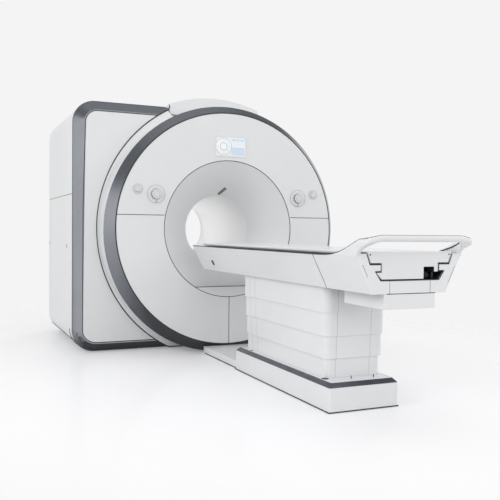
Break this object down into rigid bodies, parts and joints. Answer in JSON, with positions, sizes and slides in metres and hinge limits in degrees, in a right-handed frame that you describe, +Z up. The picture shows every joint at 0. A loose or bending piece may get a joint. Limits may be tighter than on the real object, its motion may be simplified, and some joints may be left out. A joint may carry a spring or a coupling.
{
  "type": "mri scanner",
  "caption": "Whole-body MRI scanner: round-fronted magnet housing with a flared patient bore and a raising patient table whose top slides into the bore.",
  "frame": {"origin": "on the floor, right below the centre of the magnet and of its four anchor holes", "axes": "+Y along the patient bore from the table into the magnet, +X to the right seen from the foot of the table, +Z up"},
  "size_m": [2.364, 4.532, 2.273],
  "materials": {
    "cover_white": "satin moulded cover",
    "accent_grey": "satin grey-blue",
    "bore_white": "satin",
    "window_dark": "smoked",
    "bezel_grey": "satin",
    "screen_glass": "glossy display",
    "knob_plastic": "satin",
    "vessel_steel": "bead-blasted stainless",
    "coil_copper": "enamelled copper conductor",
    "coil_resin": "cast glass-fibre resin",
    "machine_steel": "powder coat",
    "table_white": "satin moulded cover",
    "trim_dark": "dark grey rubber",
    "sheet_metal": "anodised",
    "catch_black": "satin black",
    "drive_metal": "machined",
    "belt_rubber": "toothed belt",
    "board_white": "satin laminate"
  },
  "bodies": {
    "scanner": {"front_cover_upper": "cover_white", "front_cover_lower_left": "cover_white", "front_cover_lower_right": "cover_white", "drum_cover": "cover_white", "front_funnel": "cover_white", "funnel_sill": "cover_white", "housing_panels": "cover_white", "housing_cover_upper": "cover_white", "housing_cover_lower": "cover_white", "turret_cover": "cover_white", "rear_cover": "cover_white", "rear_funnel": "cover_white", "front_accent_ring": "accent_grey", "housing_band": "accent_grey", "bore_liner": "bore_white", "bore_bridge": "bore_white", "laser_window": "window_dark", "display_bezel": "bezel_grey", "control_bezels": "bezel_grey", "display_screen": "screen_glass", "vacuum_vessel": "vessel_steel", "helium_vessel": "vessel_steel", "coil_windings": "coil_copper", "gradient_coil": "coil_resin", "rf_body_coil": "coil_resin", "cold_head": "machine_steel", "magnet_feet": "machine_steel", "base_plate": "machine_steel", "base_plinth": "table_white", "base_edge_trim": "trim_dark", "base_top": "table_white", "connector_duct": "table_white", "lift_tube_fixed": "machine_steel", "column_shell_4": "table_white"},
    "table": {"lift_tube_upper": "machine_steel", "column_shell_1": "table_white", "table_frame": "machine_steel", "table_channel": "sheet_metal", "side_cover_left": "table_white", "side_cover_right": "table_white", "foot_cover": "table_white", "end_access_panel": "table_white", "head_end_cap": "table_white", "underside_pan": "sheet_metal", "lower_box": "table_white", "accessory_hook": "catch_black", "drive_motor": "drive_metal", "idler_bearing": "drive_metal", "drive_belt": "belt_rubber"},
    "lift_middle": {"lift_tube_middle": "machine_steel"},
    "shell_2": {"column_shell_2": "table_white"},
    "shell_3": {"column_shell_3": "table_white"},
    "tabletop": {"tabletop_board": "board_white", "tabletop_carriage": "board_white"},
    "belt_drive": {"drive_pulley": "drive_metal"},
    "belt_idler": {"idler_pulley": "drive_metal"},
    "dial_left": {"jog_dial_left": "knob_plastic"},
    "dial_right": {"jog_dial_right": "knob_plastic"},
    "stop_left": {"stop_button_left": "knob_plastic"},
    "stop_right": {"stop_button_right": "knob_plastic"}
  },
  "joints": [
    {"name": "table_lift", "type": "slide", "parent": "scanner", "child": "table", "axis": [0, 0, 1], "range_m": [-0.38, 0]},
    {"name": "lift_middle_slide", "type": "slide", "parent": "scanner", "child": "lift_middle", "axis": [0, 0, 1], "range_m": [-0.19, 0]},
    {"name": "shell_2_slide", "type": "slide", "parent": "scanner", "child": "shell_2", "axis": [0, 0, 1], "range_m": [-0.247, 0]},
    {"name": "shell_3_slide", "type": "slide", "parent": "scanner", "child": "shell_3", "axis": [0, 0, 1], "range_m": [-0.1102, 0]},
    {"name": "tabletop_slide", "type": "slide", "parent": "table", "child": "tabletop", "axis": [0, 1, 0], "range_m": [0, 1.85]},
    {"name": "belt_drive_spin", "type": "hinge", "parent": "table", "child": "belt_drive", "pos_m": [0.123, -1.01, 0.826], "axis": [1, 0, 0], "continuous": true},
    {"name": "belt_idler_spin", "type": "hinge", "parent": "table", "child": "belt_idler", "pos_m": [0.123, -3.44, 0.826], "axis": [1, 0, 0], "continuous": true},
    {"name": "jog_dial_left_turn", "type": "hinge", "parent": "scanner", "child": "dial_left", "pos_m": [-0.66595, -0.95, 1.36106], "axis": [0, -1, 0], "continuous": true},
    {"name": "jog_dial_right_turn", "type": "hinge", "parent": "scanner", "child": "dial_right", "pos_m": [0.66595, -0.95, 1.36106], "axis": [0, -1, 0], "continuous": true},
    {"name": "stop_button_left_press", "type": "slide", "parent": "scanner", "child": "stop_left", "axis": [0, 1, 0], "range_m": [0, 0.006], "stiffness_N_per_m": 1200, "springref_m": -0.002},
    {"name": "stop_button_right_press", "type": "slide", "parent": "scanner", "child": "stop_right", "axis": [0, 1, 0], "range_m": [0, 0.006], "stiffness_N_per_m": 1200, "springref_m": -0.002}
  ],
  "couplings": [
    {"joint": "lift_middle_slide", "follows": "table_lift", "ratio": 0.5},
    {"joint": "shell_2_slide", "follows": "table_lift", "ratio": 0.65},
    {"joint": "shell_3_slide", "follows": "table_lift", "ratio": 0.29},
    {"joint": "belt_drive_spin", "follows": "tabletop_slide", "rad_per_m": -51.151},
    {"joint": "belt_idler_spin", "follows": "tabletop_slide", "rad_per_m": -51.151}
  ]
}
